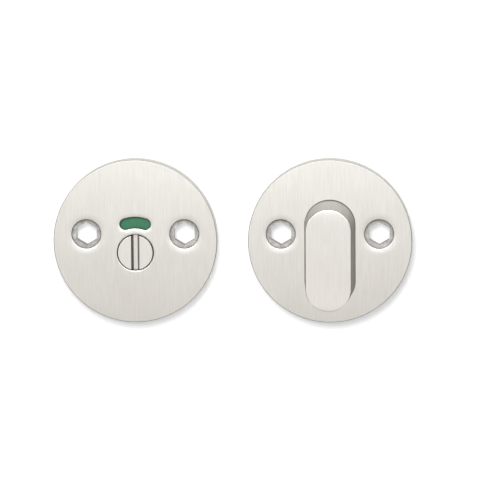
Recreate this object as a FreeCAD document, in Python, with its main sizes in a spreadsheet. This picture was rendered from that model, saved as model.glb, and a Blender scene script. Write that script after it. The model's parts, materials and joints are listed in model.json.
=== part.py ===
"""Bathroom thumb turn lock: an inside thumb turn and an outside coin release with an indicator.

Both halves are round roses that lie side by side with their back faces in one plane.
Every piece is drawn in its own upright frame, where X runs to the right, Y runs up the door
and Z comes out of the door along the spindle, with Z zero on the back of the rose.
"""
import FreeCAD, Part
import math
import os
import re
import Sketcher
from FreeCAD import Placement, Rotation, Vector

# Driving dimensions in millimetres, with angles in degrees
SIZES = {
    # Roses, alike on both halves
    "rose_diameter": 50.0,
    "rose_thickness": 5.0,
    "rose_edge_chamfer": 0.5,
    "skin": 1.5,
    "axis_drop": 3.5,
    "half_spacing": 59.5,
    "fixing_spacing": 30.0,
    "fixing_rise": 5.7,
    "counterbore_diameter": 8.8,
    "counterbore_depth": 1.2,
    "counterbore_chamfer": 0.4,
    "hex_flats": 6.2,
    # Clearances
    "running_clearance": 0.05,
    "push_clearance": 0.02,
    "end_play": 0.05,
    # Thumb turn
    "turn_width": 15.6,
    "turn_length": 32.8,
    "turn_height": 17.5,
    "turn_draft": 3.0,
    "crown_reach": 6.5,
    "crown_radius": 30.0,
    "turn_edge_chamfer": 0.35,
    "neck_diameter": 12.0,
    "neck_flats": 10.4,
    "neck_tail": 7.1,
    "neck_chamfer": 0.5,
    # Bush, click spring and washers behind the inside rose
    "bush_diameter": 14.0,
    "bush_proud": 0.4,
    "bush_flange_thickness": 1.9,
    "bush_lug_width": 3.0,
    "bush_lug_depth": 1.2,
    "strip_width": 1.0,
    "strip_thickness": 0.6,
    "spring_leg": 7.0,
    "spring_arc_rise": 3.0,
    "spring_side_room": 0.2,
    "cone_thickness": 0.3,
    "turn_cone_diameter": 20.0,
    "turn_cone_height": 0.6,
    "thrust_diameter": 18.0,
    "thrust_thickness": 0.8,
    "clip_thickness": 1.0,
    "clip_play": 0.1,
    "clip_groove_depth": 0.25,
    "clip_width": 1.7,
    "clip_gap": 3.0,
    "lug_radius": 1.4,
    "lug_hole_radius": 0.6,
    # Spindle and its cross pin
    "spindle_square": 6.0,
    "spindle_length": 60.0,
    "spindle_hold": 8.0,
    "spindle_chamfer": 0.6,
    "pin_diameter": 2.5,
    "pin_wall": 0.5,
    "pin_slit": 0.5,
    "pin_inset": 3.5,
    "pin_set_back": 0.3,
    # Window, indicator disc and coin release
    "window_radius": 9.2,
    "window_width": 3.35,
    "window_half_angle": 19.1,
    "disc_overlap": 0.3,
    "disc_clearance": 0.3,
    "disc_gap": 0.1,
    "disc_thickness": 0.5,
    "rivet_diameter": 0.8,
    "rivet_head_diameter": 1.2,
    "rivet_head_depth": 0.2,
    "rivet_circle_radius": 6.7,
    "head_diameter": 10.7,
    "head_gap": 0.15,
    "head_proud": 0.3,
    "head_chamfer": 0.25,
    "coin_slot_width": 2.55,
    "coin_slot_floor": 1.2,
    "coin_slot_depth": 1.8,
    "flange_diameter": 17.0,
    "flange_thickness": 0.7,
    "hub_diameter": 12.0,
    "hub_tail": 6.5,
    "hub_socket_depth": 7.0,
    "release_cone_height": 0.5,
    "retainer_thickness": 0.5,
    "ring_thickness": 0.7,
    "ring_groove_depth": 0.4,
    "ring_width": 1.5,
    "ring_gap": 4.0,
}

# Levels and radii that follow from the driving dimensions
SKIN_BACK = "(rose_thickness - skin)"
RECESS_RADIUS = "(window_radius + window_width / 2 + disc_overlap + disc_clearance)"
FIXING_SIDES = ("-fixing_spacing / 2", "fixing_spacing / 2")
SOCKET_SQUARE = "(spindle_square + 2 * running_clearance)"

BUSH_FRONT = "(rose_thickness + bush_proud)"
BUSH_REAR = f"({SKIN_BACK} - bush_flange_thickness)"
BUSH_BORE = "(neck_diameter / 2 + running_clearance)"
BUSH_FLANGE_RADIUS = f"({RECESS_RADIUS} - disc_clearance / 2)"
LUG_REACH = f"({RECESS_RADIUS} + bush_lug_depth)"
SPRING_POCKET_DEPTH = "(strip_width + 2 * end_play)"
SPRING_LEVEL = f"({BUSH_REAR} + {SPRING_POCKET_DEPTH} / 2)"
SPRING_INNER = "(neck_flats / 2 + end_play)"
SPRING_OUTER = f"({SPRING_INNER} + strip_thickness)"
SPRING_POCKET_HALF = "(neck_diameter / 2 + strip_thickness + spring_side_room)"
TURN_CONE_REAR = f"({BUSH_REAR} - turn_cone_height)"
THRUST_REAR = f"({TURN_CONE_REAR} - thrust_thickness)"
CLIP_REAR = f"({THRUST_REAR} - clip_thickness - clip_play)"
CLIP_BORE = "(neck_diameter / 2 - clip_groove_depth + push_clearance)"
NECK_END = f"({CLIP_REAR} - neck_tail)"
TURN_BASE = f"({BUSH_FRONT} + end_play)"
TURN_FRONT = f"({TURN_BASE} + turn_height)"
TURN_STRAIGHT = "(turn_length - turn_width)"
PIN_LEVEL = f"({NECK_END} + pin_inset)"
SPINDLE_FRONT = f"({PIN_LEVEL} + spindle_hold)"

HEAD_FRONT = "(rose_thickness + head_proud)"
HEAD_HOLE = "(head_diameter / 2 + head_gap)"
DISC_FRONT = f"({SKIN_BACK} - disc_gap)"
DISC_REAR = f"({DISC_FRONT} - disc_thickness)"
DISC_RADIUS = "(window_radius + window_width / 2 + disc_overlap)"
FLANGE_REAR = f"({DISC_REAR} - flange_thickness)"
RELEASE_CONE_REAR = f"({FLANGE_REAR} - release_cone_height)"
RETAINER_REAR = f"({RELEASE_CONE_REAR} - retainer_thickness)"
RING_REAR = f"({RETAINER_REAR} - ring_thickness)"
HUB_END = f"({RING_REAR} - hub_tail)"

# Overrun of a cut past the face it leaves, and how close two sizes are taken as equal
OVERRUN = "1"
SAME_SIZE = 1e-4

# Pieces that come as a group of separate solids
SOLIDS_IN_GROUP = {"indicator_rivets": 2}

# Turns a piece's own frame so that it faces the room with its top up
FACE_THE_ROOM = Rotation(Vector(1, 0, 0), 90)


doc = FreeCAD.newDocument("BathroomThumbTurnLock")
sheet = doc.addObject("Spreadsheet::Sheet", "Sizes")
for row, (alias, size) in enumerate(SIZES.items(), start=1):
    sheet.set(f"A{row}", alias)
    sheet.set(f"B{row}", str(size))
    sheet.setAlias(f"B{row}", alias)
doc.recompute()


def bound(expression):
    """Point each size's name in an expression at the sheet."""
    return re.sub(r"[a-z_]+", lambda name: f"Sizes.{name[0]}" if name[0] in SIZES else name[0], expression)


def value(expression):
    """Work out an expression from the sheet's present numbers."""
    return float(sheet.evalExpression(expression))


def new_body(label, offset="0"):
    """Start a piece that faces the room, with its spindle axis moved sideways by offset."""
    body = doc.addObject("PartDesign::Body", label)
    body.Label = label
    body.Placement = Placement(Vector(), FACE_THE_ROOM)
    body.setExpression("Placement.Base.x", bound(offset))
    return body


def new_sketch(body, plane_role, shift="0", along="z"):
    """Attach an empty sketch to one of the body's own planes, shifted along the sketch's own axis."""
    sketch = body.newObject("Sketcher::SketchObject", f"{body.Name}_sketch")
    plane = next(item for item in body.Origin.OriginFeatures if item.Role == plane_role)
    sketch.AttachmentSupport = [(plane, "")]
    sketch.MapMode = "FlatFace"
    sketch.setExpression(f"AttachmentOffset.Base.{along}", bound(shift))
    return sketch


def hold(sketch, kind, geometry, expression):
    """Add a constraint whose number follows an expression."""
    index = sketch.addConstraint(Sketcher.Constraint(kind, *geometry, value(expression)))
    sketch.setExpression(f"Constraints[{index}]", bound(expression))


def hold_point(sketch, geometry, point, x, y):
    """Fix a point of the sketch at a place given by two expressions."""
    hold(sketch, "DistanceX", (-1, 1, geometry, point), x)
    hold(sketch, "DistanceY", (-1, 1, geometry, point), y)


def draw_arc(sketch, start, end, x, y, clockwise=False):
    """Draw an arc between two points about a centre, and return its first and its last end."""
    centre = Vector(value(x), value(y), 0)
    circle = Part.Circle(centre, Vector(0, 0, 1), (start - centre).Length)
    angles = [circle.parameter(point) for point in (start, end)]
    if clockwise:
        angles.reverse()
    arc = sketch.addGeometry(Part.ArcOfCircle(circle, *angles))
    chord = end - start
    if abs(chord.x) > abs(chord.y):
        hold(sketch, "DistanceY", (-1, 1, arc, 3), y)
    else:
        hold(sketch, "DistanceX", (-1, 1, arc, 3), x)
    return ((arc, 2), (arc, 1)) if clockwise else ((arc, 1), (arc, 2))


def draw_line(sketch, start, end):
    """Draw a straight edge, and return its first and its last end."""
    line = sketch.addGeometry(Part.LineSegment(start, end))
    return (line, 1), (line, 2)


def draw_outline(sketch, corners, arcs=None):
    """Draw a closed outline through corners given as pairs of expressions.

    Edges are straight, apart from those that arcs names by the number of the corner they start from.
    """
    arcs = arcs or {}
    points = [Vector(value(x), value(y), 0) for x, y in corners]
    edges = []
    for number, (start, end) in enumerate(zip(points, points[1:] + points[:1])):
        if number in arcs:
            edges.append(draw_arc(sketch, start, end, *arcs[number]))
        else:
            edges.append(draw_line(sketch, start, end))
    for number, (first, _) in enumerate(edges):
        hold_point(sketch, *first, *corners[number])
        sketch.addConstraint(Sketcher.Constraint("Coincident", *edges[number - 1][1], *first))


def draw_circle(sketch, radius, x="0", y="0"):
    """Draw a circle about a point given by two expressions."""
    centre = Vector(value(x), value(y), 0)
    circle = sketch.addGeometry(Part.Circle(centre, Vector(0, 0, 1), value(radius)))
    hold(sketch, "Radius", (circle,), radius)
    hold_point(sketch, circle, 3, x, y)


def draw_rectangle(sketch, left, bottom, right, top):
    """Draw an upright rectangle between two corners given by expressions."""
    draw_outline(sketch, [(left, bottom), (right, bottom), (right, top), (left, top)])


def draw_square(sketch, side):
    """Draw a square about the sketch's origin."""
    draw_rectangle(sketch, f"-{side} / 2", f"-{side} / 2", f"{side} / 2", f"{side} / 2")


def draw_hexagon(sketch, flats, x, y):
    """Draw a hexagon with a corner at its top and its flats at its sides."""
    half = f"{flats} / 2"
    low = f"{flats} / sqrt(12)"
    tip = f"{flats} / sqrt(3)"
    draw_outline(sketch, [
        (x, f"{y} + {tip}"),
        (f"{x} - {half}", f"{y} + {low}"),
        (f"{x} - {half}", f"{y} - {low}"),
        (x, f"{y} - {tip}"),
        (f"{x} + {half}", f"{y} - {low}"),
        (f"{x} + {half}", f"{y} + {low}"),
    ])


def draw_stadium(sketch, width, straight):
    """Draw an upright stadium about the sketch's origin: two round ends joined by straight sides."""
    half = f"{width} / 2"
    reach = f"{straight} / 2"
    corners = [(half, f"-{reach}"), (half, reach), (f"-{half}", reach), (f"-{half}", f"-{reach}")]
    draw_outline(sketch, corners, arcs={1: ("0", reach), 3: ("0", f"-{reach}")})


def arch_corners(half, foot, rise):
    """Return the corners of an upright arch, whose second edge is its round top."""
    return [(half, f"-{foot}"), (half, rise), (f"-{half}", rise), (f"-{half}", f"-{foot}")]


def draw_arc_slot(sketch, radius, width, half_angle):
    """Draw a slot that curves over the top of the sketch's origin, with round ends."""
    across = f"sin({half_angle})"
    up = f"cos({half_angle})"
    outer = f"({radius} + {width} / 2)"
    inner = f"({radius} - {width} / 2)"
    corners = [
        (f"{outer} * {across}", f"{outer} * {up}"),
        (f"-{outer} * {across}", f"{outer} * {up}"),
        (f"-{inner} * {across}", f"{inner} * {up}"),
        (f"{inner} * {across}", f"{inner} * {up}"),
    ]
    draw_outline(sketch, corners, arcs={
        0: ("0", "0"),
        1: (f"-{radius} * {across}", f"{radius} * {up}"),
        2: ("0", "0", True),
        3: (f"{radius} * {across}", f"{radius} * {up}"),
    })


def extrude(body, kind, sketch, length, symmetric=False, reverse=False, taper=None):
    """Pad or pocket a sketch by a length given by an expression."""
    feature = body.newObject(f"PartDesign::{kind}", f"{body.Name}_{kind.lower()}")
    feature.Profile = sketch
    feature.SideType = "Symmetric" if symmetric else "One side"
    feature.Reversed = reverse
    feature.setExpression("Length", bound(length))
    if taper:
        feature.setExpression("TaperAngle", bound(taper))
    return feature


def turn(body, kind, corners, axis_shift="0"):
    """Revolve an outline of (radius, level) corners, as a turned solid or a turned groove."""
    sketch = new_sketch(body, "XZ_Plane", axis_shift, along="x")
    draw_outline(sketch, corners)
    feature = body.newObject(f"PartDesign::{kind}", f"{body.Name}_{kind.lower()}")
    feature.Profile = sketch
    feature.ReferenceAxis = (sketch, ["V_Axis"])
    return feature


def ring_corners(inner, outer, rear, front):
    """Return the corners of a plain ring's section."""
    return [(inner, rear), (outer, rear), (outer, front), (inner, front)]


def ease_edges(body, kind, size_property, size, wanted):
    """Fillet or chamfer the edges of the body's last feature that a test picks."""
    doc.recompute()
    base = body.Tip
    names = [f"Edge{number}" for number, edge in enumerate(base.Shape.Edges, start=1) if wanted(edge)]
    feature = body.newObject(f"PartDesign::{kind}", f"{body.Name}_{kind.lower()}")
    feature.Base = (base, names)
    feature.setExpression(size_property, bound(size))


def is_circle(radius, level):
    """Return a test for round edges of a radius at a level."""
    def wanted(edge):
        curve = edge.Curve
        if not isinstance(curve, Part.Circle):
            return False
        same_radius = abs(curve.Radius - value(radius)) < SAME_SIZE
        return same_radius and abs(curve.Center.z - value(level)) < SAME_SIZE
    return wanted


def lies_at(*levels):
    """Return a test for edges that lie wholly at one of some levels."""
    def wanted(edge):
        box = edge.BoundBox
        flat = box.ZLength < SAME_SIZE
        return flat and any(abs(box.ZMin - value(level)) < SAME_SIZE for level in levels)
    return wanted


def is_above(level):
    """Return a test for the outer edges that lie wholly above a level."""
    def wanted(edge):
        box = edge.BoundBox
        across = box.XLength > SAME_SIZE and box.YLength < SAME_SIZE
        return box.ZMin > value(level) and not across
    return wanted


def rose_blank(label, offset="0"):
    """Make a rose: a solid disc with a recess behind and a pair of hexagon fixing holes."""
    body = new_body(label, offset)
    disc = new_sketch(body, "XY_Plane")
    draw_circle(disc, "rose_diameter / 2", "0", "axis_drop")
    extrude(body, "Pad", disc, "rose_thickness")
    front_rim = is_circle("rose_diameter / 2", "rose_thickness")
    ease_edges(body, "Chamfer", "Size", "rose_edge_chamfer", front_rim)

    recess = new_sketch(body, "XY_Plane")
    draw_circle(recess, RECESS_RADIUS)
    extrude(body, "Pocket", recess, SKIN_BACK, reverse=True)

    holes = new_sketch(body, "XY_Plane", "rose_thickness")
    seats = new_sketch(body, "XY_Plane", "rose_thickness")
    for side in FIXING_SIDES:
        draw_hexagon(holes, "hex_flats", side, "fixing_rise")
        draw_circle(seats, "counterbore_diameter / 2", side, "fixing_rise")
    extrude(body, "Pocket", holes, "rose_thickness")
    extrude(body, "Pocket", seats, "counterbore_depth")
    mouths = is_circle("counterbore_diameter / 2", "rose_thickness")
    ease_edges(body, "Chamfer", "Size", "counterbore_chamfer", mouths)
    return body


def inside_rose():
    """Rose of the inside half, bored for the bush and notched for the bush's lugs."""
    body = rose_blank("inside_rose")
    bore = new_sketch(body, "XY_Plane", "rose_thickness")
    draw_circle(bore, "bush_diameter / 2 + push_clearance")
    extrude(body, "Pocket", bore, "rose_thickness")

    notch = new_sketch(body, "XY_Plane")
    half = "(bush_lug_width / 2 + push_clearance)"
    reach = f"({LUG_REACH} + push_clearance)"
    draw_rectangle(notch, f"-{half}", f"-{reach}", half, reach)
    extrude(body, "Pocket", notch, SKIN_BACK, reverse=True)
    return body


def thumb_turn():
    """Drafted stadium grip with crowned ends, on a round neck with a square socket."""
    body = new_body("thumb_turn")
    grip = new_sketch(body, "XY_Plane", TURN_BASE)
    draw_stadium(grip, "turn_width", TURN_STRAIGHT)
    extrude(body, "Pad", grip, "turn_height", taper="-turn_draft")

    crown = new_sketch(body, "YZ_Plane")
    draw_crown(crown, "", clockwise=True)
    draw_crown(crown, "-", clockwise=False)
    extrude(body, "Pocket", crown, "turn_width", symmetric=True)
    front_edge = is_above(f"{TURN_FRONT} - crown_reach / 2")
    ease_edges(body, "Chamfer", "Size", "turn_edge_chamfer", front_edge)

    turn(body, "Revolution", [
        ("0", NECK_END),
        ("neck_diameter / 2 - neck_chamfer", NECK_END),
        ("neck_diameter / 2", f"{NECK_END} + neck_chamfer"),
        ("neck_diameter / 2", CLIP_REAR),
        ("neck_diameter / 2 - clip_groove_depth", CLIP_REAR),
        ("neck_diameter / 2 - clip_groove_depth", THRUST_REAR),
        ("neck_diameter / 2", THRUST_REAR),
        ("neck_diameter / 2", f"{TURN_BASE} + {OVERRUN}"),
        ("0", f"{TURN_BASE} + {OVERRUN}"),
    ])

    flats = new_sketch(body, "XY_Plane", f"{SPRING_LEVEL} + strip_width")
    draw_square(flats, "(neck_diameter + neck_flats)")
    draw_square(flats, "neck_flats")
    extrude(body, "Pocket", flats, "2 * strip_width")

    socket = new_sketch(body, "XY_Plane", NECK_END)
    draw_square(socket, SOCKET_SQUARE)
    extrude(body, "Pocket", socket, f"{SPINDLE_FRONT} + end_play - {NECK_END}", reverse=True)

    pin_hole = new_sketch(body, "YZ_Plane")
    draw_circle(pin_hole, "pin_diameter / 2 + push_clearance", "0", PIN_LEVEL)
    extrude(body, "Pocket", pin_hole, f"neck_diameter + {OVERRUN}", symmetric=True)
    return body


def draw_crown(sketch, side, clockwise):
    """Draw what is cut away above one end of the grip: an arc that rolls off the flat front."""
    flat_end = f"{side}(turn_length / 2 - crown_reach)"
    past_end = f"{side}turn_length / 2"
    above = f"{TURN_FRONT} + {OVERRUN}"
    low = f"{TURN_FRONT} - crown_radius + sqrt(crown_radius ^ 2 - crown_reach ^ 2)"
    corners = [(flat_end, TURN_FRONT), (past_end, low), (past_end, above), (flat_end, above)]
    draw_outline(sketch, corners, arcs={0: (flat_end, f"{TURN_FRONT} - crown_radius", clockwise)})


def turn_bush():
    """Bush of the thumb turn: a barrel through the rose, a flange with the spring's pocket and two lugs."""
    body = new_body("turn_bush")
    turn(body, "Revolution", [
        (BUSH_BORE, BUSH_REAR),
        (BUSH_FLANGE_RADIUS, BUSH_REAR),
        (BUSH_FLANGE_RADIUS, SKIN_BACK),
        ("bush_diameter / 2", SKIN_BACK),
        ("bush_diameter / 2", BUSH_FRONT),
        (BUSH_BORE, BUSH_FRONT),
    ])
    lugs = new_sketch(body, "XY_Plane", BUSH_REAR)
    root = f"({BUSH_FLANGE_RADIUS} - {OVERRUN})"
    draw_rectangle(lugs, "-bush_lug_width / 2", root, "bush_lug_width / 2", LUG_REACH)
    draw_rectangle(lugs, "-bush_lug_width / 2", f"-{LUG_REACH}", "bush_lug_width / 2", f"-{root}")
    extrude(body, "Pad", lugs, "bush_flange_thickness")

    pocket = new_sketch(body, "XY_Plane", BUSH_REAR)
    corners = arch_corners(SPRING_POCKET_HALF, "(spring_leg + spring_side_room)", "spring_arc_rise")
    draw_outline(pocket, corners, arcs={1: ("0", "spring_arc_rise")})
    extrude(body, "Pocket", pocket, SPRING_POCKET_DEPTH, reverse=True)
    return body


def turn_click_spring():
    """Flat spring strip bent to an arch, whose legs lie along two flats of the neck."""
    body = new_body("turn_click_spring")
    strip = new_sketch(body, "XY_Plane", SPRING_LEVEL)
    outer = arch_corners(SPRING_OUTER, "spring_leg", "spring_arc_rise")
    inner = arch_corners(SPRING_INNER, "spring_leg", "spring_arc_rise")
    draw_outline(strip, outer + inner[::-1], arcs={
        1: ("0", "spring_arc_rise"),
        5: ("0", "spring_arc_rise", True),
    })
    extrude(body, "Pad", strip, "strip_width", symmetric=True)
    return body


def cone_washer(label, offset, inner, outer, rear, front):
    """Make a conical spring washer that bears at its inner edge behind and at its outer edge in front."""
    body = new_body(label, offset)
    turn(body, "Revolution", [
        (inner, rear),
        (outer, f"{front} - cone_thickness"),
        (outer, front),
        (inner, f"{rear} + cone_thickness"),
    ])
    return body


def turn_spring_washer():
    """Conical washer between the bush and the thrust washer."""
    inner = "neck_diameter / 2 + spring_side_room"
    rear = f"{TURN_CONE_REAR} + end_play"
    return cone_washer("turn_spring_washer", "0", inner, "turn_cone_diameter / 2", rear, BUSH_REAR)


def turn_thrust_washer():
    """Flat washer that the circlip holds on the neck."""
    body = new_body("turn_thrust_washer")
    turn(body, "Revolution", ring_corners(BUSH_BORE, "thrust_diameter / 2", THRUST_REAR, TURN_CONE_REAR))
    return body


def open_ring(label, offset, inner, outer, lug_drop, gap, rear, thickness):
    """Make a flat open ring with a gap at its foot, between two round lugs with plier holes."""
    body = new_body(label, offset)
    ring = new_sketch(body, "XY_Plane", rear)
    draw_circle(ring, inner)
    draw_circle(ring, outer)
    extrude(body, "Pad", ring, thickness)

    lugs = new_sketch(body, "XY_Plane", rear)
    cuts = new_sketch(body, "XY_Plane", f"{rear} + {thickness}")
    for side in ("-", ""):
        lug_side = f"{side}({gap} / 2 + lug_radius)"
        draw_circle(lugs, "lug_radius", lug_side, f"-{lug_drop}")
        draw_circle(cuts, "lug_hole_radius", lug_side, f"-{lug_drop}")
    extrude(body, "Pad", lugs, thickness)
    draw_rectangle(cuts, f"-{gap} / 2", f"-({outer} + {OVERRUN})", f"{gap} / 2", f"-({inner} - {OVERRUN})")
    extrude(body, "Pocket", cuts, thickness)
    return body


def turn_circlip():
    """Circlip in the neck's groove, with its lugs outside."""
    outer = f"({CLIP_BORE} + clip_width)"
    rear = f"{CLIP_REAR} + clip_play / 2"
    return open_ring("turn_circlip", "0", CLIP_BORE, outer, outer, "clip_gap", rear, "clip_thickness")


def spindle():
    """Square bar that reaches from the neck through the door."""
    body = new_body("spindle")
    section = new_sketch(body, "XY_Plane", SPINDLE_FRONT)
    draw_square(section, "spindle_square")
    extrude(body, "Pad", section, "spindle_length", reverse=True)
    ends = lies_at(SPINDLE_FRONT, f"{SPINDLE_FRONT} - spindle_length")
    ease_edges(body, "Chamfer", "Size", "spindle_chamfer", ends)

    pin_hole = new_sketch(body, "YZ_Plane")
    draw_circle(pin_hole, "pin_diameter / 2 + push_clearance", "0", PIN_LEVEL)
    extrude(body, "Pocket", pin_hole, f"spindle_square + {OVERRUN}", symmetric=True)
    return body


def spindle_pin():
    """Slotted spring pin across the neck and the spindle."""
    body = new_body("spindle_pin")
    length = "neck_diameter - 2 * pin_set_back"
    tube = new_sketch(body, "YZ_Plane")
    draw_circle(tube, "pin_diameter / 2", "0", PIN_LEVEL)
    draw_circle(tube, "pin_diameter / 2 - pin_wall", "0", PIN_LEVEL)
    extrude(body, "Pad", tube, length, symmetric=True)

    slit = new_sketch(body, "YZ_Plane")
    draw_rectangle(slit, "-pin_slit / 2", f"{PIN_LEVEL} - pin_diameter", "pin_slit / 2", PIN_LEVEL)
    extrude(body, "Pocket", slit, length, symmetric=True)
    return body


def outside_rose():
    """Rose of the outside half, with the release's bore, the indicator window and the ring's groove."""
    body = rose_blank("outside_rose", "-half_spacing")
    openings = new_sketch(body, "XY_Plane", "rose_thickness")
    draw_circle(openings, HEAD_HOLE)
    draw_arc_slot(openings, "window_radius", "window_width", "window_half_angle")
    extrude(body, "Pocket", openings, "rose_thickness")

    inner = f"({RECESS_RADIUS} - ring_width)"
    outer = f"({RECESS_RADIUS} + ring_groove_depth)"
    rear = f"{RING_REAR} - end_play"
    front = f"{RETAINER_REAR} + end_play"
    turn(body, "Groove", ring_corners(inner, outer, rear, front))
    return body


def coin_release():
    """Turned release: a slotted head, a flange that carries the disc and a hub with a square socket."""
    body = new_body("coin_release", "-half_spacing")
    turn(body, "Revolution", [
        ("0", HUB_END),
        ("hub_diameter / 2 - neck_chamfer", HUB_END),
        ("hub_diameter / 2", f"{HUB_END} + neck_chamfer"),
        ("hub_diameter / 2", FLANGE_REAR),
        ("flange_diameter / 2", FLANGE_REAR),
        ("flange_diameter / 2", DISC_REAR),
        ("head_diameter / 2", DISC_REAR),
        ("head_diameter / 2", f"{HEAD_FRONT} - head_chamfer"),
        ("head_diameter / 2 - head_chamfer", HEAD_FRONT),
        ("0", HEAD_FRONT),
    ])
    slot = new_sketch(body, "XZ_Plane")
    floor = f"{HEAD_FRONT} - coin_slot_depth"
    draw_outline(slot, [
        ("-coin_slot_floor / 2", floor),
        ("coin_slot_floor / 2", floor),
        ("coin_slot_width / 2", HEAD_FRONT),
        ("coin_slot_width / 2", f"{HEAD_FRONT} + {OVERRUN}"),
        ("-coin_slot_width / 2", f"{HEAD_FRONT} + {OVERRUN}"),
        ("-coin_slot_width / 2", HEAD_FRONT),
    ])
    extrude(body, "Pocket", slot, f"head_diameter + {OVERRUN}", symmetric=True)

    socket = new_sketch(body, "XY_Plane", HUB_END)
    draw_square(socket, SOCKET_SQUARE)
    extrude(body, "Pocket", socket, "hub_socket_depth", reverse=True)

    rivet_holes = new_sketch(body, "XY_Plane", DISC_REAR)
    for side in ("-", ""):
        draw_circle(rivet_holes, "rivet_diameter / 2 + push_clearance", f"{side}rivet_circle_radius")
    extrude(body, "Pocket", rivet_holes, "flange_thickness")
    return body


def rivet_corners(clearance):
    """Return half the section of a countersunk rivet, grown sideways by a clearance."""
    shank = f"rivet_diameter / 2 + {clearance}"
    return [
        ("0", FLANGE_REAR),
        (shank, FLANGE_REAR),
        (shank, f"{DISC_FRONT} - rivet_head_depth"),
        (f"rivet_head_diameter / 2 + {clearance}", DISC_FRONT),
        ("0", DISC_FRONT),
    ]


def indicator_disc():
    """Disc behind the window, whose coloured fields change places at each quarter turn."""
    body = new_body("indicator_disc", "-half_spacing")
    bore = "head_diameter / 2 + running_clearance"
    turn(body, "Revolution", ring_corners(bore, DISC_RADIUS, DISC_REAR, DISC_FRONT))
    for side in ("-", ""):
        turn(body, "Groove", rivet_corners("push_clearance"), f"{side}rivet_circle_radius")
    return body


def indicator_rivets():
    """Pair of rivets that hold the disc on the release's flange."""
    body = new_body("indicator_rivets", "-half_spacing")
    body.AllowCompound = True
    for side in ("-", ""):
        turn(body, "Revolution", rivet_corners("0"), f"{side}rivet_circle_radius")
    return body


def release_spring_washer():
    """Conical washer between the release's flange and the retainer."""
    inner = "hub_diameter / 2 + spring_side_room"
    outer = "flange_diameter / 2 - spring_side_room"
    front = f"{FLANGE_REAR} - end_play"
    return cone_washer("release_spring_washer", "-half_spacing", inner, outer, RELEASE_CONE_REAR, front)


def release_retainer():
    """Plate that closes the recess behind the release and guides its hub."""
    body = new_body("release_retainer", "-half_spacing")
    bore = "hub_diameter / 2 + running_clearance"
    rim = f"{RECESS_RADIUS} - disc_clearance / 2"
    turn(body, "Revolution", ring_corners(bore, rim, RETAINER_REAR, RELEASE_CONE_REAR))
    return body


def release_snap_ring():
    """Snap ring in the recess's groove, with its lugs inside."""
    inner = f"({RECESS_RADIUS} - ring_width)"
    outer = f"({RECESS_RADIUS} + ring_groove_depth - end_play)"
    drop = f"({inner} - lug_radius / 2)"
    return open_ring(
        "release_snap_ring", "-half_spacing", inner, outer, drop, "ring_gap", RING_REAR, "ring_thickness"
    )


PIECES = [
    inside_rose(),
    thumb_turn(),
    turn_bush(),
    turn_click_spring(),
    turn_spring_washer(),
    turn_thrust_washer(),
    turn_circlip(),
    spindle(),
    spindle_pin(),
    outside_rose(),
    coin_release(),
    indicator_disc(),
    indicator_rivets(),
    release_spring_washer(),
    release_retainer(),
    release_snap_ring(),
]

doc.recompute()
for item in doc.Objects:
    if "Invalid" in item.State or "Error" in item.State:
        raise RuntimeError(f"{item.Label} did not build: {item.State}")
for piece in PIECES:
    if piece.Shape.isNull() or not piece.Shape.isValid():
        raise RuntimeError(f"{piece.Label} has no valid shape")
    if len(piece.Shape.Solids) != SOLIDS_IN_GROUP.get(piece.Label, 1):
        raise RuntimeError(f"{piece.Label} has {len(piece.Shape.Solids)} solids")

os.makedirs("parts", exist_ok=True)
for piece in PIECES:
    piece.Shape.exportStep(f"parts/{piece.Label}.step")
    print(f"{piece.Label}: {piece.Shape.Volume:.2f} mm3")
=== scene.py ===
"""Looks of a bathroom thumb turn lock: two brushed stainless roses, a thumb turn and a coin release.

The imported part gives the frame: X to the right, Y into the door and Z up the door. The classes below
hold their sizes in millimetres, as radii about a spindle axis and as levels out from the roses' backs.
"""

import json
import logging
import math
from dataclasses import dataclass
from enum import Enum
from typing import Any, Callable, ClassVar

import bpy
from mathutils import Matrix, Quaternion, Vector

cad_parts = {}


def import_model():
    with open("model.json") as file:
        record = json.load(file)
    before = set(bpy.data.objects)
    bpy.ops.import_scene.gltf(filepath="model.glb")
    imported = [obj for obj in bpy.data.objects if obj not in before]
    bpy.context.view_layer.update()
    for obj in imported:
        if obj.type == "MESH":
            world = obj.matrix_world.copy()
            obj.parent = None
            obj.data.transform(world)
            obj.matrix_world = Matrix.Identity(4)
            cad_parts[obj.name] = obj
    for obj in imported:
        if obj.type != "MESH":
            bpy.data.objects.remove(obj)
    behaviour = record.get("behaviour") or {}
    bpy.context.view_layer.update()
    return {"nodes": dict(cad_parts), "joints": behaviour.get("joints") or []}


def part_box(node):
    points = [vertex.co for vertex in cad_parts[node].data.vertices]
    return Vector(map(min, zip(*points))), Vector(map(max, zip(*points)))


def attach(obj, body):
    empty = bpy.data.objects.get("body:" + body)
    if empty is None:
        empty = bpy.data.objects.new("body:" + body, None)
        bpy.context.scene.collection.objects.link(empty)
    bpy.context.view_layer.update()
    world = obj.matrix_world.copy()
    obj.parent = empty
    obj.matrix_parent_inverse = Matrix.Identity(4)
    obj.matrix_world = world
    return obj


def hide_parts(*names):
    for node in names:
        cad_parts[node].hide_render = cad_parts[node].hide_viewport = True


MM = 0.001

# Edges in a full circle, where a split or window round has no vertex at the height of its middle
LARGE_ROUND = 192
SMALL_ROUND = 96
PIN_ROUND = 48
SPLIT_ROUND = 130
WINDOW_ROUND = 66
HEXAGON = 6

# Straight stretches in a rolled edge and in a bevel
EDGE_STEPS = 3
BEVEL_STEPS = 2

# Millimetres: how far a cutter passes a face, a step too small to see, how near a rim's vertices lie
# to its circle, and how far the flats of a large round lie inside it
OVERRUN = 1.0
HAIR = 0.002
NEAR = 0.1
LARGE_SAG = 0.01

# Metres within which vertices merge, the angle of a sharp edge, the least share of a normal that makes
# a face look forward, and the middle of a range of tones
MERGE = 1e-7
SHARP_ANGLE = math.radians(32)
FRONT_FACING = 0.95
MID_TONE = 0.5

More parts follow.
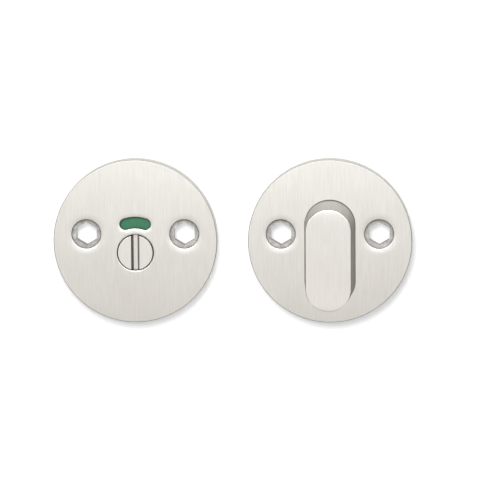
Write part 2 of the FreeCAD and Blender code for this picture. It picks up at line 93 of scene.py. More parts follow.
Colour = tuple[float, float, float]
Spot = tuple[float, float, float]
Section = list[tuple[float, float]]
Place = Callable[[float, float, float], bool]
FaceSort = Callable[[Vector, Spot], int]

log = logging.getLogger("thumb_turn_lock")


class Grain(Enum):
    """Which way a finish is worked."""

    UPRIGHT = (1.0, 1.0, 0.055)
    ALONG_SPINDLE = (1.0, 0.035, 1.0)
    NONE = (1.0, 1.0, 1.0)


class Hidden(Enum):
    """The rays that a card of the studio is hidden from."""

    NONE = ()
    ALL_BUT_CAMERA = ("diffuse", "glossy", "transmission", "shadow")
    ALL_BUT_REFLECTIONS = ("camera", "diffuse", "shadow")


def rolled(radius: float, level: float, width: float, depth: float, steps: int) -> Section:
    """Return the points of an edge that rolls from a round wall over to a face.

    Args:
        radius: The wall's radius.
        level: The face's level.
        width: How far the roll reaches inwards along the face, negative for the mouth of a hole.
        depth: How far the roll reaches down the wall.
        steps: The number of straight stretches in the roll.

    Returns:
        The points, from the wall to the face.
    """
    angles = [math.pi / 2 * step / steps for step in range(steps + 1)]
    return [(radius - width * (1 - math.cos(a)), level - depth * (1 - math.sin(a))) for a in angles]


def dished(radius: float, level: float, width: float, depth: float, edge: float, steps: int) -> Section:
    """Return the points of an edge that sinks gently towards a round wall and then turns over into it.

    Args:
        radius: The wall's radius.
        level: The face's level.
        width: How far the sunk part reaches inwards along the face, negative round a hole.
        depth: How far the face has sunk where it meets the wall.
        edge: The radius of the turn into the wall.
        steps: The number of straight stretches in the sunk part.

    Returns:
        The points, from the wall to the face.
    """
    inwards = math.copysign(edge, width)
    turn = rolled(radius, level - depth, inwards, edge, EDGE_STEPS)
    start = radius - inwards
    reach = width - inwards
    shares = [step / steps for step in range(1, steps + 1)]
    return turn + [(start - reach * share, level - depth * (1 - share) ** 2) for share in shares]


@dataclass(frozen=True)
class OpenRingSizes:
    """Sizes of a flat ring with a gap at its foot, whose lugs sit at a drop below the axis."""

    inner: float
    outer: float
    lug_drop: float
    gap: float
    rear: float
    front: float
    lug_radius: float = 1.4
    hole_radius: float = 0.6


@dataclass
class Bench:
    """Hand tools that shape one mesh at a time, about a spindle axis with its own place in the frame."""

    across: float = 0.0
    up: float = 0.0

    def spot(self, across: float, up: float, level: float) -> Vector:
        """Return the point of the frame at an offset from the axis and a level."""
        return MM * Vector((self.across + across, -level, self.up + up))

    def offset(self, point: Vector) -> Spot:
        """Return a point's offset across and up from the axis, and its level."""
        return point.x / MM - self.across, point.z / MM - self.up, -point.y / MM

    @staticmethod
    def clear() -> None:
        """Leave edit mode and deselect everything."""
        if bpy.context.mode != "OBJECT":
            bpy.ops.object.mode_set(mode="OBJECT")
        bpy.ops.object.select_all(action="DESELECT")

    def hold(self, piece: bpy.types.Object) -> None:
        """Select one piece alone and make it active.

        Args:
            piece: The piece.
        """
        self.clear()
        piece.select_set(True)
        bpy.context.view_layer.objects.active = piece

    def settle(self, name: str) -> bpy.types.Object:
        """Close the edited piece, turn its faces outwards and put its place in its mesh.

        Args:
            name: The piece's name.

        Returns:
            The piece.
        """
        bpy.ops.mesh.select_all(action="SELECT")
        bpy.ops.mesh.remove_doubles(threshold=MERGE)
        bpy.ops.mesh.fill_holes(sides=0)
        bpy.ops.mesh.normals_make_consistent(inside=False)
        bpy.ops.object.mode_set(mode="OBJECT")
        bpy.ops.object.transform_apply(location=True, rotation=True, scale=True)
        piece = bpy.context.object
        piece.name = name
        return piece

    def turned(self, name: str, section: Section, across: float = 0.0, up: float = 0.0,
               steps: int = SMALL_ROUND, ring: bool = False) -> bpy.types.Object:
        """Turn a section about an axis along the spindle.

        Args:
            name: The piece's name.
            section: The (radius, level) points, in order.
            across: The turning axis's offset to the right of the bench's axis.
            up: The turning axis's offset above the bench's axis.
            steps: The number of edges in a full circle.
            ring: Whether the section closes on itself, which leaves a bore.

        Returns:
            The turned piece.
        """
        self.clear()
        radius, level = section[0]
        bpy.ops.mesh.primitive_circle_add(
            vertices=steps, radius=radius * MM, fill_type="NOTHING", enter_editmode=True,
            location=self.spot(across, up, level), rotation=(math.pi / 2, 0, 0))
        for next_radius, next_level in section[1:] + section[:1] * ring:
            rise = (0, (level - next_level) * MM, 0)
            bpy.ops.mesh.extrude_region_move(TRANSFORM_OT_translate={"value": rise})
            grow = next_radius / radius
            centre = self.spot(across, up, next_level)
            bpy.ops.transform.resize(value=(grow, 1, grow), center_override=centre)
            radius, level = next_radius, next_level
        return self.settle(name)

    def ring(self, name: str, inner: float, outer: float, rear: float, front: float) -> bpy.types.Object:
        """Turn a flat ring between two radii and two levels."""
        corners = [(inner, rear), (outer, rear), (outer, front), (inner, front)]
        return self.turned(name, corners, steps=LARGE_ROUND, ring=True)

    def open_ring(self, name: str, sizes: OpenRingSizes) -> bpy.types.Object:
        """Make a flat ring with a gap at its foot, between two round lugs with plier holes.

        Args:
            name: The ring's name.
            sizes: The ring's sizes.

        Returns:
            The ring.
        """
        ring = self.ring(name, sizes.inner, sizes.outer, sizes.rear, sizes.front)
        low = (-sizes.gap / 2, -sizes.outer - OVERRUN, sizes.rear - OVERRUN)
        high = (sizes.gap / 2, -sizes.inner + OVERRUN, sizes.front + OVERRUN)
        self.cut(ring, self.block("gap", low, high))
        reach = sizes.gap / 2 + sizes.lug_radius
        lug = [(sizes.lug_radius, sizes.rear + HAIR), (sizes.lug_radius, sizes.front - HAIR)]
        hole = [(sizes.hole_radius, sizes.rear - OVERRUN), (sizes.hole_radius, sizes.front + OVERRUN)]
        for side in (-1, 1):
            self.join(ring, self.turned("lug", lug, side * reach, -sizes.lug_drop))
            self.cut(ring, self.turned("plier_hole", hole, side * reach, -sizes.lug_drop))
        return ring

    def arch(self, name: str, half: float, foot: float, rise: float, rear: float,
             front: float) -> bpy.types.Object:
        """Make a solid with a half round top and straight legs.

        Args:
            name: The piece's name.
            half: The radius of its top.
            foot: How far its legs reach below the axis.
            rise: How far the middle of its top lies above the axis.
            rear: Its rear level.
            front: Its front level.

        Returns:
            The arch.
        """
        straight = rise + foot + OVERRUN
        middle = rise - straight / 2
        arch = self.turned(name, [(half, rear), (half, front)], up=middle, steps=SPLIT_ROUND)
        self.stretch(arch, straight, middle)
        low = (-half - OVERRUN, -foot - half - 2 * OVERRUN, rear - OVERRUN)
        self.cut(arch, self.block("legs", low, (half + OVERRUN, -foot, front + OVERRUN)))
        return arch

    def block(self, name: str, low: Spot, high: Spot) -> bpy.types.Object:
        """Make a block between two corners.

        Args:
            name: The block's name.
            low: The offset across, the offset up and the level of one corner.
            high: Those of the opposite corner.

        Returns:
            The block.
        """
        self.clear()
        first, last = self.spot(*low), self.spot(*high)
        bpy.ops.mesh.primitive_cube_add(size=1, enter_editmode=True, location=(first + last) / 2,
                                        scale=[abs(side) for side in last - first])
        return self.settle(name)

    def drill(self, name: str, radius: float, level: float, length: float) -> bpy.types.Object:
        """Make a round bar that lies across the axis.

        Args:
            name: The bar's name.
            radius: Its radius.
            level: The level of its middle.
            length: Its length.

        Returns:
            The bar.
        """
        self.clear()
        bpy.ops.mesh.primitive_cylinder_add(
            vertices=PIN_ROUND, radius=radius * MM, depth=length * MM, enter_editmode=True,
            location=self.spot(0, 0, level), rotation=(0, math.pi / 2, 0))
        return self.settle(name)

    def pick(self, piece: bpy.types.Object, wanted: Place, every_end: bool = True) -> None:
        """Enter edit mode with the wanted vertices and the edges between them selected.

        Args:
            piece: The piece to edit.
            wanted: A test on the offset across, the offset up and the level of a vertex.
            every_end: Whether an edge needs both its ends wanted, or exactly one.
        """
        self.hold(piece)
        bpy.ops.object.mode_set(mode="EDIT")
        bpy.ops.mesh.select_mode(type="EDGE")
        bpy.ops.mesh.select_all(action="DESELECT")
        bpy.ops.object.mode_set(mode="OBJECT")
        mesh = piece.data
        chosen = [wanted(*self.offset(vertex.co)) for vertex in mesh.vertices]
        for edge in mesh.edges:
            ends = [chosen[index] for index in edge.vertices]
            edge.select = all(ends) if every_end else ends[0] != ends[1]
        bpy.ops.object.mode_set(mode="EDIT")

    def leave(self) -> None:
        """Go back to object mode."""
        bpy.ops.object.mode_set(mode="OBJECT")

    def stretch(self, piece: bpy.types.Object, straight: float, up: float = 0.0) -> None:
        """Part a round piece at a height and draw its halves apart, up and down.

        Args:
            piece: The piece, with no vertex at that height.
            straight: The length of the straight stretch that opens between the halves.
            up: The height of the parting.
        """
        for side in (1, -1):
            self.pick(piece, lambda _across, height, _level: (height - up) * side > 0)
            bpy.ops.transform.translate(value=(0, 0, side * straight / 2 * MM))
            self.leave()

    def soften(self, piece: bpy.types.Object, wanted: Place, width: float,
               steps: int = BEVEL_STEPS) -> None:
        """Bevel the edges whose ends are both wanted.

        Args:
            piece: The piece.
            wanted: A test on the offset across, the offset up and the level of a vertex.
            width: The bevel's width.
            steps: The number of straight stretches in the bevel.
        """
        self.pick(piece, wanted)
        bpy.ops.mesh.bevel(offset=width * MM, segments=steps, affect="EDGES", clamp_overlap=True)
        self.leave()

    def apply(self, piece: bpy.types.Object, modifier: bpy.types.Modifier) -> None:
        """Apply a modifier to its piece."""
        self.hold(piece)
        bpy.ops.object.modifier_apply(modifier=modifier.name)

    def combine(self, piece: bpy.types.Object, operation: str, *others: bpy.types.Object) -> None:
        """Cut other pieces from a piece, or join them to it, and use them up.

        Args:
            piece: The piece that stays.
            operation: DIFFERENCE to cut or UNION to join.
            others: The pieces that are used up.
        """
        for other in others:
            modifier = piece.modifiers.new(operation.lower(), "BOOLEAN")
            modifier.object = other
            modifier.operation = operation
            modifier.solver = "EXACT"
            self.apply(piece, modifier)
            bpy.data.objects.remove(other)

    def cut(self, piece: bpy.types.Object, *cutters: bpy.types.Object) -> None:
        """Cut pieces from a piece."""
        self.combine(piece, "DIFFERENCE", *cutters)

    def join(self, piece: bpy.types.Object, *others: bpy.types.Object) -> None:
        """Join pieces to a piece."""
        self.combine(piece, "UNION", *others)

    def break_edges(self, piece: bpy.types.Object, width: float) -> None:
        """Round every sharp edge of a piece.

        Args:
            piece: The piece.
            width: The width of the rounding.
        """
        modifier = piece.modifiers.new("edges", "BEVEL")
        modifier.width = width * MM
        modifier.segments = BEVEL_STEPS
        modifier.limit_method = "ANGLE"
        modifier.angle_limit = SHARP_ANGLE
        self.apply(piece, modifier)

    def smooth(self, piece: bpy.types.Object) -> None:
        """Shade a piece smooth between its sharp edges, with its flat faces kept flat.

        Args:
            piece: The piece.
        """
        self.hold(piece)
        bpy.ops.object.mode_set(mode="EDIT")
        bpy.ops.mesh.select_all(action="SELECT")
        bpy.ops.mesh.remove_doubles(threshold=MERGE)
        bpy.ops.object.mode_set(mode="OBJECT")
        bpy.ops.object.shade_smooth_by_angle(angle=SHARP_ANGLE)
        modifier = piece.modifiers.new("normals", "WEIGHTED_NORMAL")
        modifier.keep_sharp = True
        self.apply(piece, modifier)


class Signal:
    """A number that varies over a surface. Sums on it add Math nodes."""

    def __init__(self, recipe: "Recipe", socket: bpy.types.NodeSocket) -> None:
        """Wrap a socket of a recipe's tree."""
        self.recipe = recipe
        self.socket = socket

    def maths(self, operation: str, first: Any, second: Any = 0.0) -> "Signal":
        """Return a Math node's result for two values or signals."""
        return self.recipe.node("ShaderNodeMath", {"operation": operation}, {0: first, 1: second})

    def __add__(self, other: Any) -> "Signal":
        """Return self + other."""
        return self.maths("ADD", self, other)

    def __radd__(self, other: Any) -> "Signal":
        """Return other + self."""
        return self.maths("ADD", other, self)

    def __sub__(self, other: Any) -> "Signal":
        """Return self - other."""
        return self.maths("SUBTRACT", self, other)

    def __mul__(self, other: Any) -> "Signal":
        """Return self * other."""
        return self.maths("MULTIPLY", self, other)

    def __rmul__(self, other: Any) -> "Signal":
        """Return other * self."""
        return self.maths("MULTIPLY", other, self)

    def __gt__(self, other: Any) -> "Signal":
        """Return 1 where self is above other and 0 elsewhere."""
        return self.maths("GREATER_THAN", self, other)

    def __or__(self, other: Any) -> "Signal":
        """Return the larger of self and other."""
        return self.maths("MAXIMUM", self, other)

    def __abs__(self) -> "Signal":
        """Return the size of self without its sign."""
        return self.maths("ABSOLUTE", self)


class Recipe:
    """The node tree of one material or of the world."""

    def __init__(self, owner: bpy.types.ID) -> None:
        """Start from an empty tree.

        Args:
            owner: The material or world that the tree belongs to.
        """
        owner.use_nodes = True
        self.tree = owner.node_tree
        self.tree.nodes.clear()

    def node(self, kind: str, settings: dict[str, Any] | None = None,
             inputs: dict[Any, Any] | None = None, output: Any = 0) -> Signal:
        """Add a node.

        Args:
            kind: The node's type.
            settings: The node's own settings, set first.
            inputs: Values or signals by the socket's name or number.
            output: The name or number of the socket that is returned.

        Returns:
            The node's output.
        """
        node = self.tree.nodes.new(kind)
        for key, setting in (settings or {}).items():
            setattr(node, key, setting)
        for key, given in (inputs or {}).items():
            if isinstance(given, Signal):
                self.tree.links.new(given.socket, node.inputs[key])
            else:
                node.inputs[key].default_value = given
        return Signal(self, node.outputs[output])

    def coordinates(self, centre: Vector = Vector()) -> Signal:
        """Return the place on the object, counted from a centre."""
        inputs = {"Vector": self.node("ShaderNodeTexCoord", output="Object"), "Location": centre}
        return self.node("ShaderNodeMapping", {"vector_type": "TEXTURE"}, inputs)

    def axis(self, place: Signal, name: str) -> Signal:
        """Return one coordinate of a place."""
        return self.node("ShaderNodeSeparateXYZ", inputs={0: place}, output=name)

    def noise(self, place: Signal, period: float, grain: Grain = Grain.NONE,
              detail: float = 2.0) -> Signal:
        """Return cloudy noise from about -1 to 1.

        Args:
            place: Where the noise is read.
            period: The distance across the grain in which the noise changes, in millimetres.
            grain: The way in which the noise is drawn out.
            detail: The number of finer layers.

        Returns:
            The noise.
        """
        scale = [factor / (period * MM) for factor in grain.value]
        drawn = self.node("ShaderNodeVectorMath", {"operation": "MULTIPLY"}, {0: place, 1: scale})
        cloud = self.node("ShaderNodeTexNoise", inputs={"Vector": drawn, "Scale": 1.0, "Detail": detail})
        return 2.0 * (cloud - MID_TONE)

    def blend(self, amount: Any, low: Any, high: Any) -> Signal:
        """Return a colour between two colours or signals, by an amount from 0 to 1."""
        inputs = {"Factor": amount, 6: low, 7: high}
        return self.node("ShaderNodeMix", {"data_type": "RGBA"}, inputs, output=2)

    def tint(self, amount: Any, low: Colour, high: Colour) -> Signal:
        """Return a colour between two plain colours, by an amount from 0 to 1."""
        return self.blend(amount, (*low, 1), (*high, 1))

    def bump(self, height: Signal, depth: float, strength: float) -> Signal:
        """Return a normal that follows a height whose unit is a depth in millimetres."""
        inputs = {"Height": height, "Distance": depth * MM, "Strength": strength}
        return self.node("ShaderNodeBump", inputs=inputs)

    def surface(self, **sockets: Any) -> None:
        """Finish the tree with one Principled shader.

        Args:
            sockets: Its inputs, with spaces in their names written as underscores.
        """
        inputs = {name.replace("_", " "): given for name, given in sockets.items()}
        shader = self.node("ShaderNodeBsdfPrincipled", inputs=inputs)
        self.output("ShaderNodeOutputMaterial", shader)

    def output(self, kind: str, shader: Signal) -> None:
        """Link a shader to a new output node."""
        output = self.tree.nodes.new(kind)
        self.tree.links.new(shader.socket, output.inputs["Surface"])


def new_recipe(name: str) -> tuple[bpy.types.Material, Recipe]:
    """Return a new material and the recipe that fills it."""
    material = bpy.data.materials.new(name)
    return material, Recipe(material)


@dataclass(frozen=True)
class BrushedStainless:
    """Satin stainless steel with long fine scratches, which can take painted shade that darkens it
    towards a foot level, as a contact shadow.
    """

    name: str = "brushed_stainless"
    pale: Colour = (0.835, 0.798, 0.733)
    dark: Colour = (0.735, 0.698, 0.632)
    grain: Grain = Grain.UPRIGHT
    roughness: float = 0.45
    streak: float = 0.5
    streak_tone: float = 0.65
    streak_roughness: float = 0.03
    scratch: float = 0.14
    scratch_tone: float = 0.45
    scratch_roughness: float = 0.05
    cloud: float = 9.0
    cloud_tone: float = 0.3
    groove: float = 0.004
    bump_strength: float = 0.35
    grazing: float = 1.0
    # Painted shade: the level at which the painted contact shadow is darkest, its fade height and its
    # colour
    foot: float = 0.0
    painted_shade_height: float = 0.0
    painted_shade_colour: Colour = (0.03, 0.028, 0.026)

    def material(self) -> bpy.types.Material:
        """Make the finish.

        Returns:
            The material.
        """
        material, recipe = new_recipe(self.name)
        place = recipe.coordinates()
        streak = recipe.noise(place, self.streak, self.grain)
        scratch = recipe.noise(place, self.scratch, self.grain)
        cloud = recipe.noise(place, self.cloud)
        tone = MID_TONE + self.streak_tone * streak + self.scratch_tone * scratch
        tone += self.cloud_tone * cloud
        colour = recipe.tint(tone, self.dark, self.pale)
        # Painted shade: blend to a near-black colour towards the foot level, standing in for the contact
        # shadow where a grip meets its rose
        if self.painted_shade_height:
            level = recipe.axis(place, "Y") * (-1 / MM)
            rise = (level - self.foot) * (1 / self.painted_shade_height)
            colour = recipe.blend(rise, (*self.painted_shade_colour, 1), colour)
        recipe.surface(
            Base_Color=colour,
            Metallic=1.0,
            Roughness=self.roughness + self.scratch_roughness * scratch + self.streak_roughness * streak,
            Specular_Tint=(self.grazing, self.grazing, self.grazing, 1),
            Normal=recipe.bump(scratch + streak, self.groove, self.bump_strength),
        )
        return material


@dataclass(frozen=True)
class PlainSteel:
    """Metal with a plated, treated or bare skin: faint blotches and a fine tooth."""

    name: str
    pale: Colour
    dark: Colour
    roughness: float
    blotch: float = 2.2
    blotch_tone: float = 0.6
    blotch_roughness: float = 0.08
    tooth: float = 0.12
    tooth_tone: float = 0.2
    tooth_roughness: float = 0.04
    groove: float = 0.004
    bump_strength: float = 0.4

    def material(self) -> bpy.types.Material:
        """Make the finish.

        Returns:
            The material.
        """
        material, recipe = new_recipe(self.name)
        place = recipe.coordinates()
        blotch = recipe.noise(place, self.blotch)
        tooth = recipe.noise(place, self.tooth)
        tone = MID_TONE + self.blotch_tone * blotch + self.tooth_tone * tooth
        recipe.surface(
            Base_Color=recipe.tint(tone, self.dark, self.pale),
            Metallic=1.0,
            Roughness=self.roughness + self.blotch_roughness * blotch + self.tooth_roughness * tooth,
            Normal=recipe.bump(tooth, self.groove, self.bump_strength),
        )
        return material


@dataclass(frozen=True)
class Acetal:
    """Natural acetal, a milky plastic with faint tool marks. Its glow is in metres."""

    name: str = "acetal"
    pale: Colour = (0.80, 0.79, 0.74)
    dark: Colour = (0.70, 0.69, 0.63)
    roughness: float = 0.42
    cloud: float = 4.0
    cloud_tone: float = 0.7
    marks: float = 0.15
    marks_roughness: float = 0.06
    milkiness: float = 0.1
    glow: tuple[float, float, float] = (0.001, 0.001, 0.0008)
    groove: float = 0.005
    bump_strength: float = 0.3

    def material(self) -> bpy.types.Material:
        """Make the finish.

        Returns:
            The material.
        """
        material, recipe = new_recipe(self.name)
        place = recipe.coordinates()
        cloud = recipe.noise(place, self.cloud)
        marks = recipe.noise(place, self.marks)
        recipe.surface(
            Base_Color=recipe.tint(MID_TONE + self.cloud_tone * cloud, self.dark, self.pale),
            Roughness=self.roughness + self.marks_roughness * marks,
            Subsurface_Weight=self.milkiness,
            Subsurface_Radius=self.glow,
            Normal=recipe.bump(marks, self.groove, self.bump_strength),
        )
        return material


@dataclass(frozen=True)
class IndicatorEnamel:
    """Satin enamel in quarters of two colours about the disc's axis."""

    centre: Vector
    name: str = "indicator_enamel"
    free: Colour = (0.045, 0.208, 0.102)
    engaged: Colour = (0.50, 0.040, 0.034)
    spread: float = 0.15
    roughness: float = 0.45
    cloud: float = 1.6
    cloud_tone: float = 0.5
    cloud_roughness: float = 0.06
    peel: float = 0.25
    groove: float = 0.006
    bump_strength: float = 0.25

    def material(self) -> bpy.types.Material:
        """Make the finish.

        Returns:
            The material.
        """
        material, recipe = new_recipe(self.name)
        place = recipe.coordinates(self.centre)
        across = abs(recipe.axis(place, "X"))
        up = abs(recipe.axis(place, "Z"))
        cloud = recipe.noise(place, self.cloud)
        peel = recipe.noise(place, self.peel)
        shade = MID_TONE + self.cloud_tone * cloud
        fields = []
        for colour in (self.engaged, self.free):
            low = tuple((1 - self.spread) * part for part in colour)
            high = tuple((1 + self.spread) * part for part in colour)
            fields.append(recipe.tint(shade, low, high))
        recipe.surface(
            Base_Color=recipe.blend(up > across, *fields),
            Roughness=self.roughness + self.cloud_roughness * cloud,
            Normal=recipe.bump(peel, self.groove, self.bump_strength),
        )
        return material


@dataclass
class SubAssembly:
    """Pieces that one body of the part carries, made on one bench."""

    body: ClassVar[str] = ""
    bench: Bench

    def fit(self, piece: bpy.types.Object, node: str, slot: str, *finishes: bpy.types.Material,
            sort: FaceSort | None = None) -> None:
        """Dress a finished piece and let it stand for a solid of the part.

        Args:
            piece: The finished piece.
            node: The solid that it stands for.
            slot: The name of the solid's material slot; not used.
            finishes: Its finishes, one for each group of faces; the darker copies of the steel among them
                paint shade.
            sort: Gives the number of a face's finish from the face's normal, offsets and level.
        """
        self.bench.smooth(piece)
        piece.data.materials.clear()
        for finish in finishes:
            piece.data.materials.append(finish)
        if sort:
            for face in piece.data.polygons:
                face.material_index = sort(face.normal, self.bench.offset(face.center))
        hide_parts(node)
        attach(piece, self.body)
        log.info("%s stands for %s with %d faces", piece.name, node, len(piece.data.polygons))


@dataclass
class RoseSizes:
    """Sizes that both roses share."""

    radius: float
    thickness: float
    rise: float
    rim_edge: float = 0.2
    rim_steps: int = 5
    recess_radius: float = 11.475
    recess_level: float = 3.5
    fixing_reach: float = 15.0
    fixing_up: float = 5.7
    seat_radius: float = 4.4
    seat_level: float = 3.8
    dish_width: float = 2.1
    dish_depth: float = 0.18
    dish_edge: float = 0.28
    dish_steps: int = 8
    hex_radius: float = 3.58

    @classmethod
    def from_frame(cls, node: str, up: float) -> "RoseSizes":
        """Return the sizes of a rose that the frame holds.

        Args:
            node: The rose's solid.
            up: The height of the rose's spindle axis.

        Returns:
            The sizes.
        """
        low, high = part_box(node)
        return cls(
            radius=(high.x - low.x) / 2 / MM,
            thickness=-low.y / MM,
            rise=(low.z + high.z) / 2 / MM - up,
        )


@dataclass
class Rose(SubAssembly):
    """A round rose with a recess behind and a pair of hexagon fixing holes with dished mouths."""

    body: ClassVar[str] = "roses"
    sizes: RoseSizes

    def blank(self, name: str) -> bpy.types.Object:
        """Make the rose before its own openings are cut.

        Args:
            name: The rose's name.

        Returns:
            The rose.
        """
        sizes, bench = self.sizes, self.bench
        edge = rolled(sizes.radius, sizes.thickness, sizes.rim_edge, sizes.rim_edge, sizes.rim_steps)
        rose = bench.turned(name, [(sizes.radius, 0.0)] + edge, up=sizes.rise, steps=LARGE_ROUND)
        recess = [(sizes.recess_radius, -OVERRUN), (sizes.recess_radius, sizes.recess_level)]
        bench.cut(rose, bench.turned("recess", recess, steps=LARGE_ROUND))
        for side in (-1, 1):
            bench.cut(rose, *self.fixing_cutters(side * sizes.fixing_reach))
        return rose

    def fixing_cutters(self, across: float) -> list[bpy.types.Object]:
        """Make the cutters of one fixing hole.

        Args:
            across: The hole's offset to the right of the axis.

        Returns:
            The cutter of its seat and mouth, and the cutter of its hexagon.
        """
        sizes, bench = self.sizes, self.bench
        section = [(sizes.seat_radius, sizes.seat_level)] + self.mouth(sizes.seat_radius)
        seat = bench.turned("seat", section, across, sizes.fixing_up)
        through = [(sizes.hex_radius, -OVERRUN), (sizes.hex_radius, sizes.thickness)]
        hexagon = bench.turned("hexagon", through, across, sizes.fixing_up, steps=HEXAGON)
        return [seat, hexagon]

    def mouth(self, radius: float, share: float = 1.0) -> Section:
        """Return the front end of a cutter whose hole has a gently sunk mouth.

        Args:
            radius: The hole's radius.
            share: The size of the sunk part against a fixing hole's.

        Returns:
            The points, from the wall of the hole to the front of the rose and past it.
        """
        sizes = self.sizes
        top = sizes.thickness + HAIR
        width = share * sizes.dish_width
        sunk = dished(radius, top, -width, share * sizes.dish_depth, sizes.dish_edge, sizes.dish_steps)
        return sunk + [(radius + width, top + OVERRUN)]

    def sort(self, normal: Vector, place: Spot) -> int:
        """Return the finish of a face: 0 where brushed, 1 on walls and edges with a dark copy of the
        steel as painted shade, 2 on seats.

        Args:
            normal: The face's normal.
            place: Its offset across, its offset up and its level.

        Returns:
            The number of the finish.
        """
        sizes = self.sizes
        across, up, level = place
        if -normal.y < FRONT_FACING:
            on_rim = math.hypot(across, up - sizes.rise) > sizes.radius - HAIR - LARGE_SAG
            return 0 if on_rim and level < sizes.thickness - sizes.rim_edge else 1
        return 2 if level < sizes.thickness - sizes.dish_depth - sizes.dish_edge else 0

    def face_rim(self, radius: float) -> Place:
        """Return a test for places on the front face that lie beside a circle about the spindle axis.

        Args:
            radius: The circle's radius.

        Returns:
            The test.
        """
        def wanted(across: float, up: float, level: float) -> bool:
            """Return whether a place is on that part of the face."""
            on_face = abs(level - self.sizes.thickness) < HAIR / 2
            return on_face and abs(math.hypot(across, up) - radius) < NEAR
        return wanted


@dataclass
class InsideHalf(Rose):
    """The inside rose with the bush and the conical washer that it holds."""

    bore_radius: float = 7.02
    bore_edge: float = 0.15
    notch_half: float = 1.52
    notch_reach: float = 12.695
    bush_bore: float = 6.05
    bush_radius: float = 7.0
    bush_front: float = 5.4
    bush_rear: float = 1.6
    flange_radius: float = 11.325
    lug_half: float = 1.5
    lug_reach: float = 12.675
    pocket_half: float = 6.8
    pocket_foot: float = 7.2
    pocket_rise: float = 3.0
    pocket_front: float = 2.7
    cone: tuple[tuple[float, float], ...] = ((6.2, 1.05), (10.0, 1.3), (10.0, 1.6), (6.2, 1.35))

    def rose(self, *finishes: bpy.types.Material) -> None:
        """Build and dress the inside rose.

        Args:
            finishes: Its brushed finish, a dark copy of it that paints shade on walls and edges, and its
                milled finish.
        """
        bench, sizes = self.bench, self.sizes
        rose = self.blank("inside_rose_face")
        bore = [(self.bore_radius, 0.0), (self.bore_radius, sizes.thickness + OVERRUN)]
        bench.cut(rose, bench.turned("bore", bore))
        low = (-self.notch_half, -self.notch_reach, -OVERRUN)
        high = (self.notch_half, self.notch_reach, sizes.recess_level)
        bench.cut(rose, bench.block("notch", low, high))
        bench.soften(rose, self.face_rim(self.bore_radius), self.bore_edge)
        self.fit(rose, "inside_rose", "brushed_stainless", *finishes, sort=self.sort)

    def bush(self, finish: bpy.types.Material) -> None:
        """Build and dress the bush, with its lugs and the pocket of its spring.

        Args:
            finish: Its finish.
        """
        bench = self.bench
        bush = bench.turned("turn_bush_barrel", [
            (self.bush_bore, self.bush_rear),
            (self.flange_radius, self.bush_rear),
            (self.flange_radius, self.sizes.recess_level),
            (self.bush_radius, self.sizes.recess_level),
            (self.bush_radius, self.bush_front),
            (self.bush_bore, self.bush_front),
        ], steps=LARGE_ROUND, ring=True)
        root = self.flange_radius - OVERRUN
        for low_up, high_up in ((root, self.lug_reach), (-self.lug_reach, -root)):
            low = (-self.lug_half, low_up, self.bush_rear)
            bench.join(bush, bench.block("lug", low, (self.lug_half, high_up, self.sizes.recess_level)))
        bench.cut(bush, bench.arch("pocket", self.pocket_half, self.pocket_foot, self.pocket_rise,
                                   self.bush_rear - OVERRUN, self.pocket_front))
        self.fit(bush, "turn_bush", "acetal", finish)

    def washer(self, finish: bpy.types.Material) -> None:
        """Build and dress the conical washer behind the bush."""
        washer = self.bench.turned("turn_spring_cone", list(self.cone), steps=LARGE_ROUND, ring=True)
        self.fit(washer, "turn_spring_washer", "spring_steel", finish)


